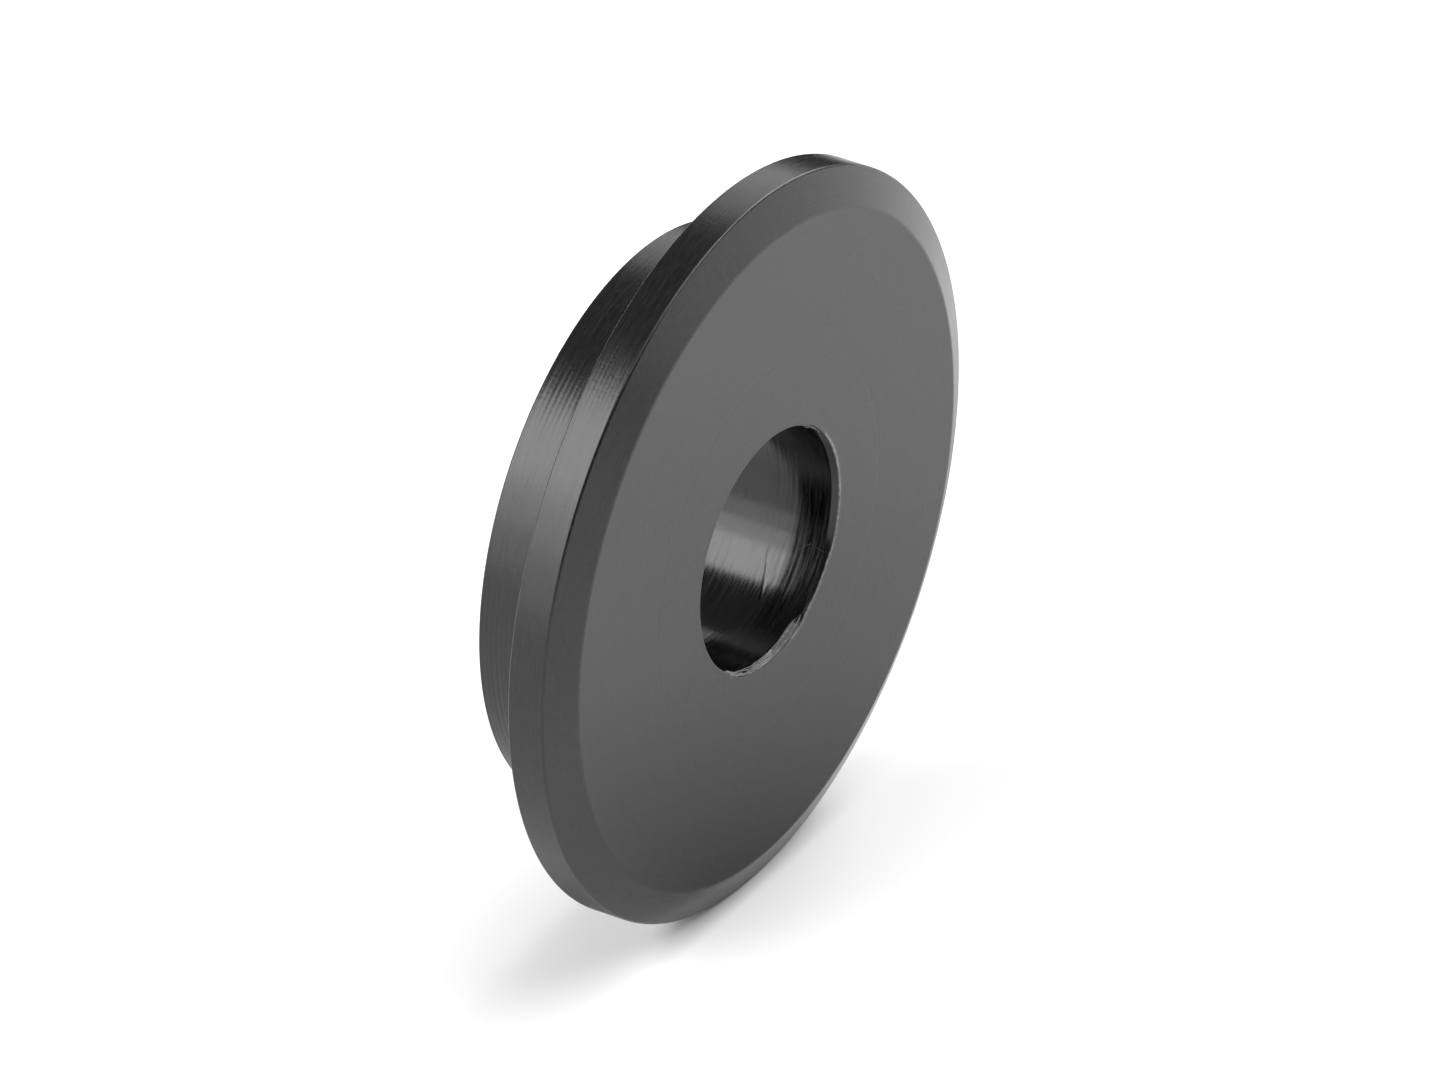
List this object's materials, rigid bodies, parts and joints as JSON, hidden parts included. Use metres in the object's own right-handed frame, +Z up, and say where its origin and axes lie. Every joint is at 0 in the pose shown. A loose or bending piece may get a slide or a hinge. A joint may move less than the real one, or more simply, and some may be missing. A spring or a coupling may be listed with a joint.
{
  "type": "flanged bush",
  "caption": "Turned black plastic bush: a round flange with a bevelled front edge, a short plain spigot behind it and a clearance bore through both.",
  "frame": {"origin": "on the bore's axis, in the plane of the flange's seating face, where the spigot starts", "axes": "+Y along the bore from the bevelled front face towards the spigot's free end; +Z up and +X across, both along radii of a part that is round about Y"},
  "size_m": [0.04, 0.0077, 0.04],
  "materials": {
    "black_acetal": "as turned, satin"
  },
  "bodies": {
    "root": {"flanged_bush": "black_acetal"}
  },
  "joints": []
}
